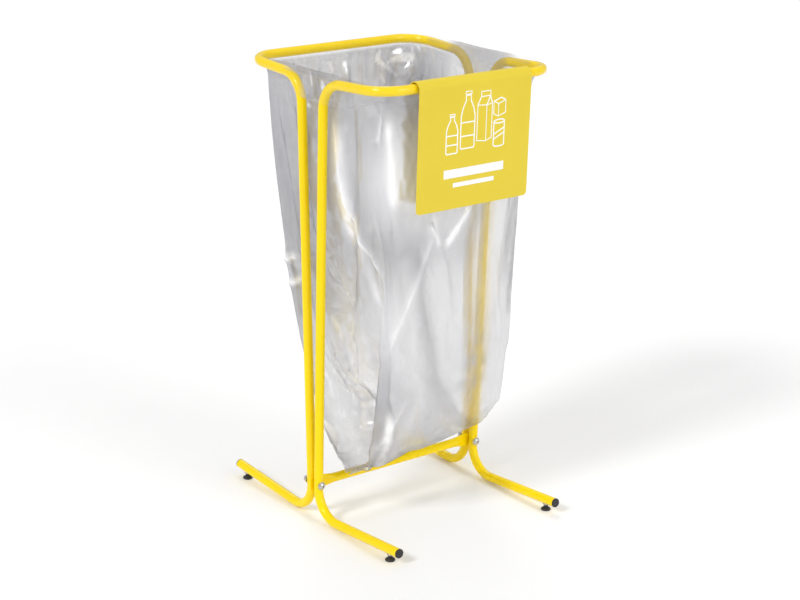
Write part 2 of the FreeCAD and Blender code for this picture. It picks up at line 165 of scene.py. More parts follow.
def spread_range(material, source, low, high):
    """Maps noise onto low to high."""
    ranger = add_node(material, "ShaderNodeMapRange")
    ranger.inputs["From Min"].default_value = NOISE_LOW
    ranger.inputs["From Max"].default_value = NOISE_HIGH
    ranger.inputs["To Min"].default_value = low
    ranger.inputs["To Max"].default_value = high
    join(material, source, ranger.inputs["Value"])
    return ranger.outputs["Result"]


def colour_between(material, source, low, high):
    """Maps noise onto the colours from low to high."""
    ramp = add_node(material, "ShaderNodeValToRGB")
    ramp.color_ramp.elements[0].position = NOISE_LOW
    ramp.color_ramp.elements[0].color = (*low, 1)
    ramp.color_ramp.elements[1].position = NOISE_HIGH
    ramp.color_ramp.elements[1].color = (*high, 1)
    join(material, source, ramp.inputs["Fac"])
    return ramp.outputs["Color"]


def add_bump(material, shader, source, strength, distance):
    bump = add_node(material, "ShaderNodeBump")
    bump.inputs["Strength"].default_value = strength
    bump.inputs["Distance"].default_value = distance
    join(material, source, bump.inputs["Height"])
    join(material, bump.outputs["Normal"], shader.inputs["Normal"])


def surface(name, colours, roughness, patches, grain, metallic=0.0, coat=0.0, shine=0.5):
    """A painted, moulded or plated surface.

    Colour and roughness drift between two values over patches, so many to the metre. The grain is a fine
    bump that breaks the shine, as bumps per metre and their height in metres.
    """
    material, shader = new_material(name)
    drift = object_noise(material, patches)
    join(material, colour_between(material, drift, *colours), shader.inputs["Base Color"])
    join(material, spread_range(material, drift, *roughness), shader.inputs["Roughness"])
    bumps, bump_height = grain
    add_bump(material, shader, object_noise(material, bumps, detail=2.0), GRAIN_STRENGTH, bump_height)
    shader.inputs["Metallic"].default_value = metallic
    shader.inputs["Coat Weight"].default_value = coat
    shader.inputs["Coat Roughness"].default_value = 0.08
    shader.inputs["Specular IOR Level"].default_value = shine
    return material


def make_materials():
    """The painted, moulded and plated surfaces, by the name of their material slot."""
    recipes = {
        "powder_coat": {
            "colours": [(0.97, 0.70, 0.0), (0.99, 0.72, 0.0)],
            "roughness": (0.24, 0.30),
            "patches": 12,
            "grain": (1400, 0.00005),
            "coat": 0.35,
            "shine": 0.12,
        },
        "black_plastic": {
            "colours": [(0.012, 0.012, 0.013), (0.025, 0.025, 0.027)],
            "roughness": (0.38, 0.55),
            "patches": 120,
            "grain": (2500, 0.0002),
        },
        "zinc": {
            "colours": [(0.50, 0.50, 0.50), (0.72, 0.71, 0.68)],
            "roughness": (0.25, 0.45),
            "patches": 400,
            "grain": (2500, 0.0001),
            "metallic": 1.0,
        },
        "sign_sheet": {
            "colours": [(0.76, 0.59, 0.04), (0.78, 0.61, 0.045)],
            "roughness": (0.45, 0.55),
            "patches": 12,
            "grain": (1800, 0.00005),
            "shine": 0.3,
        },
        "white_ink": {
            "colours": [(0.93, 0.93, 0.90), (0.97, 0.97, 0.95)],
            "roughness": (0.45, 0.6),
            "patches": 60,
            "grain": (3000, 0.00005),
        },
    }
    return {name: surface(name, **recipe) for name, recipe in recipes.items()}


# ---------------------------------------------------------------- film bag
# The rim, as in the CAD: half width, half depth and corner radius of the tube's centre line
RIM = (0.200, 0.209, 0.054)
RIM_HEIGHT = 0.875
TUBE_RADIUS = 0.009
# Half the gap that the film bridges between two posts, and how far it sags there
POST_GAP_HALF = 0.070
BRIDGE_SAG = 0.001
# The sag fades out over one part in this many of the way down
SAG_FADE = 12
# Film this near in Y to the middle of a side is kept within this distance in X, clear of the posts
BESIDE_POSTS = 0.10
INSIDE_POSTS = 0.188
# The rim is at a side beyond this distance in X, and at the front beyond this one in Y
AT_SIDE = 0.19
AT_FRONT = 0.20
# The hem lies flat under the sign, and less so over a margin beside it
SIGN_HALF_WIDTH = 0.130
SIGN_MARGIN = 0.03

# The sheet is a tube: its way round and its length, before it was hung
FILM_FLAT = (1.64, 0.87)
FILM_OFF_TUBE = 0.0008
# The grid that is settled. Rows run from the hem of the cuff, over the fold, down the body to the weld.
COLUMNS = 176
CUFF_ROWS = 7
FOLD_ROWS = 10
BODY_ROWS = 84
FIRST_BODY_ROW = CUFF_ROWS + FOLD_ROWS
INTO_BODY_ROWS = 3
# Steps round a corner of the rim, and the small step along it that gives its direction
CORNER_STEPS = 16
SHARE_STEP = 0.001
# The cuff's hem stands off the tube by a gap and by ripples
HEM_GAP = 0.0006
HEM_RIPPLE = 0.0008
HEM_RIPPLES = 23
HEM_PHASE = 1.3
WELD_HEIGHT = 0.114
# A gusset goes in by at most this share of half the width, and its fold is rounded off
GUSSET_LIMIT = 0.88
GUSSET_ROUNDING = 0.004
# How far the weld hangs off the middle, and how much higher its right end is. A higher power sets in lower.
FOOT_DRIFT = (0.005, -0.040)
FOOT_TILT = 0.022
DRIFT_POWER = 2.5
TILT_POWER = 4
# The film grows by this share as it settles, so that it wrinkles, and the weld is held this firmly
FILM_GROWTH = 0.03
WELD_HOLD = 0.9
SETTLING_FRAMES = 50

# Soft hanging waves: their height, and how wide and high each is
DRAPE_HEIGHT = 0.0055
DRAPE_SIZE = (0.090, 0.50)
DRAPE_ABOVE_WELD = 0.15
# Folds and creases reach full depth this many rows below the rim
CREASES_BELOW_RIM = 14.0
# The weld is crinkled, and its edge is cut a little unevenly
WELD_REACH = 0.03
WELD_CRINKLE = 0.0025
WELD_UNEVEN = 0.004
WELD_UNEVEN_SIZE = 0.02
# The ends of a crease: the part of its length over which it rises, and where it begins
CREASE_END = 0.25
CREASE_END_LEVEL = 0.15
# Crumpled film is folded several ways at once: folds round the bag, folds per metre of height, offset
FOLD_WAVES = [(23, 7.0, 0.10), (-17, 15.0, 0.45), (11, -19.0, 0.70), (-31, -6.0, 0.25)]
# Creases: start and end as (share of the way round, height), width, and how far the crease stands out
CREASES = [
    ((0.784, 0.830), (0.801, 0.590), 0.010, 0.007),
    ((0.790, 0.650), (0.875, 0.505), 0.010, 0.006),
    ((0.881, 0.830), (0.894, 0.640), 0.014, 0.006),
    ((0.958, 0.610), (0.882, 0.350), 0.012, 0.006),
    ((0.945, 0.620), (0.966, 0.565), 0.008, 0.006),
    ((0.966, 0.565), (1.020, 0.650), 0.008, 0.007),
    ((0.875, 0.860), (0.862, 0.760), 0.008, -0.006),
    ((0.655, 0.495), (0.612, 0.478), 0.006, 0.005),
    ((0.660, 0.452), (0.600, 0.425), 0.007, 0.006),
    ((0.727, 0.330), (0.690, 0.300), 0.007, 0.005),
    ((0.733, 0.325), (0.760, 0.370), 0.007, 0.003),
    ((0.773, 0.520), (0.739, 0.330), 0.012, 0.006),
    ((0.436, 0.857), (0.399, 0.803), 0.006, -0.005),
    ((0.399, 0.803), (0.376, 0.828), 0.006, -0.005),
    ((0.3795, 0.868), (0.372, 0.831), 0.005, 0.004),
    ((0.480, 0.850), (0.500, 0.700), 0.012, -0.006),
    ((0.550, 0.840), (0.535, 0.640), 0.012, -0.006),
    ((0.605, 0.830), (0.625, 0.600), 0.012, 0.005),
    ((0.430, 0.740), (0.455, 0.480), 0.014, 0.005),
    ((0.330, 0.800), (0.300, 0.560), 0.012, 0.005),
    ((0.135, 0.820), (0.150, 0.560), 0.018, 0.004),
    ((0.175, 0.700), (0.130, 0.430), 0.022, 0.003),
    ((0.060, 0.560), (0.095, 0.330), 0.014, 0.004),
    ((0.850, 0.330), (0.800, 0.170), 0.010, 0.005),
    ((0.930, 0.280), (0.870, 0.150), 0.014, 0.004),
]
# Crumpled patches: middle as (share of the way round, height), half size, and how rough
CRUMPLED_PATCHES = [
    ((0.720, 0.270), (0.080, 0.110), 0.004),
    ((0.862, 0.835), (0.050, 0.045), 0.005),
    ((0.390, 0.800), (0.150, 0.090), 0.003),
    ((0.540, 0.780), (0.100, 0.100), 0.006),
    ((0.800, 0.720), (0.060, 0.140), 0.004),
    ((0.640, 0.470), (0.060, 0.070), 0.004),
    ((0.820, 0.200), (0.090, 0.080), 0.004),
    ((0.200, 0.300), (0.120, 0.120), 0.004),
]
# Painted highlight streaks, where the film's colour is painted whiter in place of reflected light: start and end,
# width, and how white
HIGHLIGHT_STREAKS = [
    ((0.793, 0.810), (0.800, 0.540), 0.020, 0.95),
    ((0.883, 0.850), (0.897, 0.580), 0.026, 0.70),
    ((0.812, 0.640), (0.852, 0.440), 0.018, 0.90),
    ((0.905, 0.580), (0.925, 0.400), 0.035, 0.40),
    ((0.966, 0.555), (1.025, 0.660), 0.013, 0.90),
    ((0.966, 0.555), (0.952, 0.650), 0.009, 0.80),
    ((0.757, 0.450), (0.769, 0.398), 0.007, 1.00),
    ((0.769, 0.402), (0.741, 0.332), 0.009, 1.00),
    ((0.715, 0.402), (0.732, 0.346), 0.008, 1.00),
    ((0.700, 0.365), (0.702, 0.225), 0.005, 0.80),
    ((0.735, 0.320), (0.715, 0.240), 0.010, 0.80),
    ((0.728, 0.260), (0.685, 0.110), 0.018, 1.00),
    ((0.896, 0.260), (0.903, 0.090), 0.012, 1.00),
    ((0.618, 0.260), (0.612, 0.090), 0.012, 1.00),
    ((0.655, 0.500), (0.610, 0.480), 0.008, 0.90),
    ((0.660, 0.455), (0.600, 0.428), 0.009, 0.90),
    ((0.3815, 0.872), (0.372, 0.828), 0.0035, 1.00),
    ((0.385, 0.866), (0.396, 0.846), 0.003, 0.80),
    ((0.376, 0.830), (0.393, 0.801), 0.004, 0.60),
    ((0.438, 0.836), (0.417, 0.785), 0.006, 1.00),
    ((0.514, 0.852), (0.506, 0.824), 0.006, 1.00),
    ((0.496, 0.846), (0.488, 0.818), 0.006, 0.60),
    ((0.465, 0.846), (0.470, 0.832), 0.004, 0.80),
    ((0.466, 0.838), (0.457, 0.798), 0.008, 0.90),
    ((0.250, 0.720), (0.235, 0.430), 0.022, 0.55),
    ((0.130, 0.780), (0.140, 0.500), 0.018, 0.55),
    ((0.060, 0.500), (0.090, 0.280), 0.022, 0.35),
    ((0.450, 0.660), (0.430, 0.360), 0.022, 0.60),
    ((0.560, 0.640), (0.575, 0.330), 0.024, 0.60),
    ((0.960, 0.280), (0.900, 0.130), 0.026, 0.40),
]
# Painted highlights on flat triangles between folds, given by their corners
FACET_EDGE = 0.007
HIGHLIGHT_FACETS = [
    ((0.434, 0.860), (0.439, 0.833), (0.424, 0.833)),
    ((0.424, 0.837), (0.439, 0.837), (0.397, 0.801)),
    ((0.417, 0.832), (0.376, 0.830), (0.396, 0.849)),
    ((0.396, 0.849), (0.376, 0.830), (0.376, 0.847)),
    ((0.745, 0.348), (0.745, 0.330), (0.800, 0.347)),
    ((0.625, 0.186), (0.649, 0.156), (0.633, 0.148)),
    ((0.649, 0.158), (0.630, 0.106), (0.633, 0.150)),
    ((0.716, 0.262), (0.742, 0.302), (0.772, 0.268)),
    ((0.714, 0.248), (0.722, 0.222), (0.758, 0.252)),
]
# Wide patches of painted sheen, where the film's colour is painted whiter in place of reflected light: middle,
# half size, and how white
SHEEN_PATCHES = [
    ((0.925, 0.700), (0.26, 0.20), 0.85),
    ((0.760, 0.380), (0.14, 0.18), 0.75),
    ((0.870, 0.440), (0.15, 0.20), 0.60),
]
# How white the painted glints on crumpled film and the painted highlights on creases are
CRUMPLE_GLINT_WHITE = 0.45
CREASE_HIGHLIGHT_WHITE = 0.5
# How creased crumpled film and the weld count as
CRUMPLE_CREASED = 0.5
WELD_CREASED = 0.5
# The painted highlight streaks are uneven: their level, its variation, and how wide and high the uneven parts are
STREAK_LEVEL = 0.8
STREAK_VARIATION = 0.6
STREAK_GRAIN = (0.03, 0.09)

# The film's own grey, and the white of the highlights, glints and sheen painted on it
FILM_COLOUR = (0.255, 0.255, 0.295)
PAINTED_HIGHLIGHT_COLOUR = (0.92, 0.92, 0.93)
FILM_IOR = 2.2
FILM_ROUGHNESS = (0.15, 0.25)
# Patches of roughness to the metre, crinkles to the metre, and the strength and height of their bump
GLOSS_PATCHES = 14
CRINKLES = 40
CRINKLE_BUMP = (0.2, 0.002)

# Haze is the share of the view that the film hides. It varies in clouds, and there is more of it edge on.
CLOUD_PATCHES = 9
CLOUD_RANGE = (0.85, 1.15)
EDGE_ON_BLEND = 0.3
EDGE_ON_EXTRA = 0.25
BODY_HAZE = 0.34
REAR_HAZE = 0.64
BRIDGE_HAZE = 0.42
CREST_HAZE = 0.30
CUFF_HAZE = 0.06
TUBE_HAZE = 0.05
# Haze that is added
CORNER_HAZE = 0.12
CREASE_HAZE = 0.10
STREAK_HAZE = 0.62
# Bands down the bag, as their middle, reach and softness in shares of the way round
FRONT_BAND = (0.00, 0.14, 0.04)
RIGHT_BAND = (0.17, 0.15, 0.04)
REAR_BAND = (0.50, 0.32, 0.12)
LOW_REAR_BAND = (0.50, 0.10, 0.09)
GUSSET_BANDS = [(0.25, 0.10, 0.025), (0.75, 0.10, 0.025)]
# The back behind the gussets is the first of these two bands without the second
BEHIND_GUSSETS = [(0.50, 0.10, 0.01), (0.50, 0.10, 0.08)]
CORNERS = [0.12, 0.38, 0.62, 0.88]
CORNER_WIDTH = 0.03
# Levels, as the height where something begins and how far down it is complete
LOW_PART = (0.50, 0.25)
GUSSET_PART = (0.62, 0.25)
RIGHT_PART = (0.72, 0.10)
# How much of the rear band's haze is left low down, and by how much haze is less or more elsewhere
LOW_REAR_SHARE = 0.6
GUSSET_LOSS = 0.55
BEHIND_GUSSETS_LOSS = 0.35
RIGHT_LOSS = 0.35
WELD_LOSS = 0.35
WELD_LOSS_REACH = 0.10
LOW_FRONT_EXTRA = 0.30
HIGH_FRONT_LOSS = 0.15
# Rows over which haze changes at the fold
CUFF_FADE_ROWS = 6.0
TUBE_FADE_ROWS = 6.0
PAST_TUBE_ROWS = 2.5
BRIDGE_ROWS = 20
# Half length of the hazy film that bridges the posts, on the left and on the right, and how softly it ends
OPEN_FOLD = (0.088, 0.105)
OPEN_CUFF = (0.032, 0.085)
OPEN_FOLD_END = 0.035
OPEN_CUFF_END = 0.025
# The crest is the inner edge of the fold, along the sides: its half length, its end, and its rows
CREST_HALF_LENGTH = 0.165
CREST_END = 0.02
CREST_ABOVE_BODY = 2
CREST_ROWS = 3.0

# How strongly hazy film blurs what is behind it, once it hangs clear of the rim
BLUR_IOR = 1.05
BLUR_ROUGHNESS = 0.60
BLUR_PER_HAZE = 1.6
CLEAR_OF_RIM_ROWS = 20.0

# Sections of the body: height, half width, half depth and corner radius
BODY_SECTIONS = [
    (0.875, 0.1904, 0.1994, 0.045),
    (0.860, 0.1880, 0.1970, 0.050),
    (0.700, 0.1800, 0.1745, 0.054),
    (0.500, 0.1690, 0.1430, 0.052),
    (0.350, 0.1650, 0.1170, 0.050),
    (0.217, 0.1630, 0.0870, 0.044),
    (0.150, 0.1580, 0.0480, 0.036),
    (0.114, 0.1550, 0.0060, 0.004),
]
# Depth of the cuff, at shares of the way round
CUFF_DEPTHS = [
    (0.00, 0.045), (0.06, 0.030), (0.12, 0.013), (0.18, 0.040), (0.25, 0.055),
    (0.32, 0.040), (0.45, 0.034), (0.57, 0.030), (0.62, 0.014), (0.66, 0.014),
    (0.72, 0.042), (0.80, 0.046), (0.86, 0.030), (0.90, 0.040), (0.95, 0.042), (1.00, 0.045),
]


def outline(half_width, half_depth, corner, share):
    """Points of a rounded rectangle. The way round starts at the middle of the front and goes right."""
    straight_x = half_width - corner
    straight_y = half_depth - corner
    points = [(0.0, -half_depth)]
    quarters = [(1, -1, -90), (1, 1, 0), (-1, 1, 90), (-1, -1, 180)]
    for side_x, side_y, first in quarters:
        for step in range(CORNER_STEPS + 1):
            angle = math.radians(first + 90 * step / CORNER_STEPS)
            x = side_x * straight_x + corner * math.cos(angle)
            y = side_y * straight_y + corner * math.sin(angle)
            points.append((x, y))
    points.append((0.0, -half_depth))
    points = np.array(points)
    lengths = np.linalg.norm(np.diff(points, axis=0), axis=1)
    along = np.concatenate([[0], np.cumsum(lengths)])
    at = (share % 1.0) * along[-1]
    return np.stack([np.interp(at, along, points[:, k]) for k in range(2)], axis=1)


def smooth(x):
    x = np.clip(x, 0, 1)
    return x * x * (3 - 2 * x)


def periodic(table, share):
    """Smooth interpolation of a table of (share, value) that closes on itself."""
    places = np.array([row[0] for row in table])
    values = np.array([row[1] for row in table])
    index = np.clip(np.searchsorted(places, share, side="right") - 1, 0, len(places) - 2)
    part = smooth((share - places[index]) / (places[index + 1] - places[index]))
    return values[index] * (1 - part) + values[index + 1] * part


def panel_ends(half_width, half_depth, corner):
    """Where the panels of the bag begin and end, as shares of the way round."""
    half_front = half_width - corner + corner * math.pi / 4
    side = 2 * (half_depth - corner) + corner * math.pi / 2
    ends = np.array([0, half_front, half_front + side, 3 * half_front + side, 3 * half_front + 2 * side])
    return np.append(ends, 4 * half_front + 2 * side) / (4 * half_front + 2 * side)


def gusset_depth(half_width, half_depth):
    """How far a side panel of fixed length folds in when the front and the back come this close."""
    half_panel = 0.25 * (1 - FILM_GROWTH) * FILM_FLAT[0] / 2
    return min(math.sqrt(max(half_panel**2 - half_depth**2, 0)), GUSSET_LIMIT * half_width)


def section(height, share):
    """One level of the bag's body: four panels, the two side ones folded inwards as gussets."""
    heights = [row[0] for row in BODY_SECTIONS][::-1]
    half_width, half_depth, corner = (
        float(np.interp(height, heights, [row[k] for row in BODY_SECTIONS][::-1])) for k in (1, 2, 3)
    )
    ends = panel_ends(*RIM)
    here = np.interp(share, ends, panel_ends(half_width, half_depth, corner))
    points = outline(half_width, half_depth, corner, here)
    for first, last, side in ((ends[1], ends[2], 1), (ends[3], ends[4], -1)):
        part = 2 * (share - first) / (last - first) - 1
        tent = np.clip(1 - np.sqrt(part**2 + GUSSET_ROUNDING), 0, 1)
        points[:, 0] -= side * tent * gusset_depth(half_width, half_depth)
    down = (RIM_HEIGHT - height) / (RIM_HEIGHT - WELD_HEIGHT)
    drift = smooth(down) ** DRIFT_POWER
    aside = points[:, 0] / half_width
    points[:, 0] += FOOT_DRIFT[0] * drift
    points[:, 1] += FOOT_DRIFT[1] * drift
    return points, FOOT_TILT * aside * down**TILT_POWER


def film_grid():
    """Rows of points from the cuff's hem, up and over the rim, down the inside to the bottom weld."""
    share = np.arange(COLUMNS) / COLUMNS
    rim = outline(*RIM, share)
    ahead = outline(*RIM, share + SHARE_STEP)
    behind = outline(*RIM, share - SHARE_STEP)
    tangent = ahead - behind
    tangent /= np.linalg.norm(tangent, axis=1)[:, None]
    outward = np.stack([tangent[:, 1], -tangent[:, 0]], axis=1)
    # Between the posts no tube carries the fold, so it sags a little
    fold_radius = TUBE_RADIUS + FILM_OFF_TUBE
    rim_height = RIM_HEIGHT - BRIDGE_SAG * between_posts(share)
    cuff = periodic(CUFF_DEPTHS, share)
    # The sign presses the hem flat
    from_sign = np.abs(rim[:, 0]) - SIGN_HALF_WIDTH
    under_sign = (rim[:, 1] < -AT_FRONT) * smooth((SIGN_MARGIN - from_sign) / SIGN_MARGIN)
    ripple = 1 + np.sin(share * 2 * math.pi * HEM_RIPPLES + HEM_PHASE)
    flare = HEM_GAP + HEM_RIPPLE * ripple * (1 - under_sign)
    rows = []
    for row in range(CUFF_ROWS):
        lift = row / CUFF_ROWS
        height = rim_height - cuff * (1 - lift)
        out = fold_radius + flare * (1 - lift)
        rows.append(np.column_stack([rim + outward * out[:, None], height]))
    for row in range(FOLD_ROWS):
        angle = math.pi * row / FOLD_ROWS
        out = fold_radius * math.cos(angle)
        height = rim_height + fold_radius * math.sin(angle)
        rows.append(np.column_stack([rim + outward * out, height]))
    for row in range(BODY_ROWS):
        down = row / (BODY_ROWS - 1)
        height = RIM_HEIGHT + (WELD_HEIGHT - RIM_HEIGHT) * down
        body, tilt = section(height, share)
        into_body = smooth(row / INTO_BODY_ROWS)
        body = (rim - outward * fold_radius) * (1 - into_body) + body * into_body
        level = height + tilt + (rim_height - RIM_HEIGHT) * (1 - smooth(down * SAG_FADE))
        rows.append(np.column_stack([body, np.broadcast_to(level, share.shape)]))
    return np.array(rows)


def between_posts(share):
    """1 in the middle of the gap between two posts, where no tube carries the fold, 0 at its ends."""
    rim = outline(*RIM, share)
    return smooth(1 - np.abs(rim[:, 1]) / POST_GAP_HALF) * (np.abs(rim[:, 0]) > AT_SIDE)


def grid_mesh(name, grid):
    """A mesh of quads through a grid of points that closes on itself along its rows."""
    rows, columns = grid.shape[:2]
    faces = []
    for row in range(rows - 1):
        for column in range(columns):
            beside = (column + 1) % columns
            low, high = row * columns, (row + 1) * columns
            faces.append((low + column, high + column, high + beside, low + beside))
    mesh = bpy.data.meshes.new(name)
    mesh.from_pydata(grid.reshape(-1, 3).tolist(), [], faces)
    return mesh


def settle(grid):
    """Lets the film hang. The cuff and the fold are held, the rest grows a little and wrinkles."""
    rows, columns = grid.shape[:2]
    bag = bpy.data.objects.new("settling", grid_mesh("settling", grid))
    bpy.context.scene.collection.objects.link(bag)
    held = bag.vertex_groups.new(name="held")
    held.add(list(range((FIRST_BODY_ROW + 2) * columns)), 1.0, "REPLACE")
    held.add(list(range((rows - 2) * columns, rows * columns)), WELD_HOLD, "REPLACE")
    cloth = bag.modifiers.new("cloth", "CLOTH")
    film = cloth.settings
    film.vertex_group_mass = "held"
    film.quality = 6
    film.mass = 0.04
    film.air_damping = 3.0
    film.tension_stiffness = 25
    film.compression_stiffness = 8
    film.shear_stiffness = 6
    film.bending_stiffness = 1.0
    film.tension_damping = 8
    film.compression_damping = 8
    film.shear_damping = 8
    film.bending_damping = 2
    film.shrink_min = -FILM_GROWTH
    film.use_pressure = True
    film.uniform_pressure_force = 0.35
    cloth.collision_settings.use_collision = False
    cloth.collision_settings.use_self_collision = False
    scene = bpy.context.scene
    scene.frame_start = 1
    scene.frame_end = SETTLING_FRAMES
    cloth.point_cache.frame_end = SETTLING_FRAMES
    for number in range(1, SETTLING_FRAMES + 1):
        scene.frame_set(number)
    shape = bag.evaluated_get(bpy.context.evaluated_depsgraph_get())
    points = np.empty(rows * columns * 3, dtype=np.float32)
    shape.data.vertices.foreach_get("co", points)
    bpy.data.objects.remove(bag)
    scene.frame_set(1)
    return points.reshape(grid.shape).astype(float)


def midpoints(before, first, second, after):
    """Points halfway between first and second on a smooth curve through all four."""
    return (9 * (first + second) - before - after) / 16


def finer(grid):
    """Twice as many rows and columns, on smooth curves through the points of the grid."""
    before, after, next_after = (np.roll(grid, step, axis=1) for step in (1, -1, -2))
    between = midpoints(before, grid, after, next_after)
    wide = np.stack([grid, between], axis=2).reshape(grid.shape[0], -1, 3)
    above = np.concatenate([wide[:1], wide[:-2]])
    below = np.concatenate([wide[2:], wide[-1:]])
    tall = np.empty((2 * len(wide) - 1, *wide.shape[1:]))
    tall[0::2] = wide
    tall[1::2] = midpoints(above, wide[:-1], wide[1:], below)
    return tall


def grid_normals(grid):
    """Outward unit normals at the points of the film."""
    around = np.roll(grid, -1, axis=1) - np.roll(grid, 1, axis=1)
    down = np.gradient(grid, axis=0)
    normals = np.cross(down, around)
    return normals / np.maximum(np.linalg.norm(normals, axis=2, keepdims=True), 1e-12)


def apart(first, second):
    """Difference of two shares of the way round, the short way."""
    return (first - second + 0.5) % 1.0 - 0.5


def crease_profile(share, height, crease, sharpness=1):
    """1 on a crease's line, falling off to its sides and ends. Sharpness 1 is a crease, 2 a soft band."""
    start, end, width = crease[:3]
    along = np.array([apart(end[0], start[0]) * FILM_FLAT[0], end[1] - start[1]])
    length = np.linalg.norm(along)
    along /= length
    x = apart(share, start[0]) * FILM_FLAT[0]
    y = height - start[1]
    part = (x * along[0] + y * along[1]) / length
    aside = np.abs(x * along[1] - y * along[0])
    from_start = smooth(part / CREASE_END + CREASE_END_LEVEL)
    from_end = smooth((1 - part) / CREASE_END + CREASE_END_LEVEL)
    return np.exp(-((aside / width) ** sharpness)) * (from_start * from_end)


def patch_profile(share, height, patch):
    """1 in the middle of a patch, 0 past its edge."""
    centre, half_size = patch[:2]
    x = apart(share, centre[0]) * FILM_FLAT[0] / half_size[0]
    y = (height - centre[1]) / half_size[1]
    return smooth(1 - np.sqrt(x**2 + y**2))


def facet_profile(share, height, corners):
    """1 inside a triangle on the film, falling off across its edges."""
    places = [(apart(share, corner[0]) * FILM_FLAT[0], height - corner[1]) for corner in corners]
    turn = apart(corners[1][0], corners[0][0]) * (corners[2][1] - corners[0][1])
    turn -= apart(corners[2][0], corners[0][0]) * (corners[1][1] - corners[0][1])
    inside = np.full(np.shape(height), np.inf)
    for number in range(3):
        after = (number + 1) % 3
        edge_x = apart(corners[after][0], corners[number][0]) * FILM_FLAT[0]
        edge_y = corners[after][1] - corners[number][1]
        x, y = places[number]
        from_edge = math.copysign(1, turn) * (y * edge_x - x * edge_y) / math.hypot(edge_x, edge_y)
        inside = np.minimum(inside, from_edge)
    return smooth(inside / FACET_EDGE + 0.5)


def noise_field(share, height, across, upward, seed):
    """Noise over the film, with features this many metres wide and high, that closes on itself."""
    radius = FILM_FLAT[0] / (2 * math.pi * across)
    values = [
        noise.noise(Vector((radius * math.cos(a), radius * math.sin(a) + seed, z / upward)))
        for a, z in zip((share * 2 * math.pi).ravel(), height.ravel())
    ]
    return np.array(values).reshape(share.shape)


def crumple(share, height):
    """Flat facets between straight sharp folds, about -1 to 1."""
    total = np.zeros_like(height)
    for around, upward, offset in FOLD_WAVES:
        phase = (share * around + height * upward + offset) % 1.0
        total += 4 * np.abs(phase - 0.5) - 1
    return total / 2


def crease_film(grid):
    """Adds folds, creases and crumpled patches. Returns the points and how creased each is."""
    rows, columns = grid.shape[:2]
    share = np.broadcast_to(np.arange(columns) / columns, (rows, columns))
    height = grid[..., 2]
    body_row = np.arange(rows)[:, None] - 2 * FIRST_BODY_ROW
    below_rim = smooth(body_row / CREASES_BELOW_RIM) * np.ones_like(share)
    to_weld = (rows - 1 - np.arange(rows))[:, None] / (2.0 * BODY_ROWS)
    drape = noise_field(share, height, *DRAPE_SIZE, seed=3.0)
    push = DRAPE_HEIGHT * drape * smooth(to_weld / DRAPE_ABOVE_WELD)
    creased = np.zeros_like(share)
    for crease in CREASES:
        profile = crease_profile(share, height, crease)
        push = push + crease[3] * profile
        creased = np.maximum(creased, profile)
    facets = crumple(share, height)
    for patch in CRUMPLED_PATCHES:
        profile = patch_profile(share, height, patch)
        push = push + patch[2] * profile * facets
        creased = np.maximum(creased, CRUMPLE_CREASED * profile * np.abs(facets) ** 3)
    weld = np.exp(-to_weld / WELD_REACH)
    push = push + WELD_CRINKLE * weld * facets
    moved = grid + grid_normals(grid) * (push * below_rim)[..., None]
    uneven = noise_field(share, np.zeros_like(height), WELD_UNEVEN_SIZE, 1.0, seed=5.0)
    moved[..., 2] += WELD_UNEVEN * weld * uneven
    # The film stays inside the posts
    beside_posts = (np.abs(moved[..., 1]) < BESIDE_POSTS) & (body_row > 0)
    inside = np.clip(moved[..., 0], -INSIDE_POSTS, INSIDE_POSTS)
    moved[..., 0] = np.where(beside_posts, inside, moved[..., 0])
    return moved, np.clip(creased * below_rim + WELD_CREASED * weld, 0, 1)


def painted_film_highlights(grid, creased):
    """How much painted highlight, glint and sheen each point of the film has, from 0 to 1."""
    rows, columns = grid.shape[:2]
    share = np.broadcast_to(np.arange(columns) / columns, (rows, columns))
    height = grid[..., 2]
    white = np.zeros_like(height)
    for streak in HIGHLIGHT_STREAKS:
        white = np.maximum(white, streak[3] * crease_profile(share, height, streak, sharpness=2))
    uneven = noise_field(share, height, *STREAK_GRAIN, seed=21.0)
    white = white * (STREAK_LEVEL + STREAK_VARIATION * uneven)
    facets = np.abs(crumple(share, height))
    for patch in CRUMPLED_PATCHES:
        white = np.maximum(white, CRUMPLE_GLINT_WHITE * patch_profile(share, height, patch) * facets)
    for patch in SHEEN_PATCHES:
        white = np.maximum(white, patch[2] * patch_profile(share, height, patch))
    for corners in HIGHLIGHT_FACETS:
        white = np.maximum(white, facet_profile(share, height, corners))
    on_body = np.arange(rows)[:, None] > 2 * FIRST_BODY_ROW
    # Creases, crumpled film and the weld get a painted highlight by how creased they are
    return np.clip((white + CREASE_HIGHLIGHT_WHITE * creased**2) * on_body, 0, 1)


def in_band(share, middle, reach, softness):
    """1 near the middle of a band down the bag, 0 past its reach."""
    return smooth((reach - np.abs(apart(share, middle))) / softness)


def under_level(height, level, depth):
    """0 above a level, 1 from this depth down."""
    return smooth((level - height) / depth)


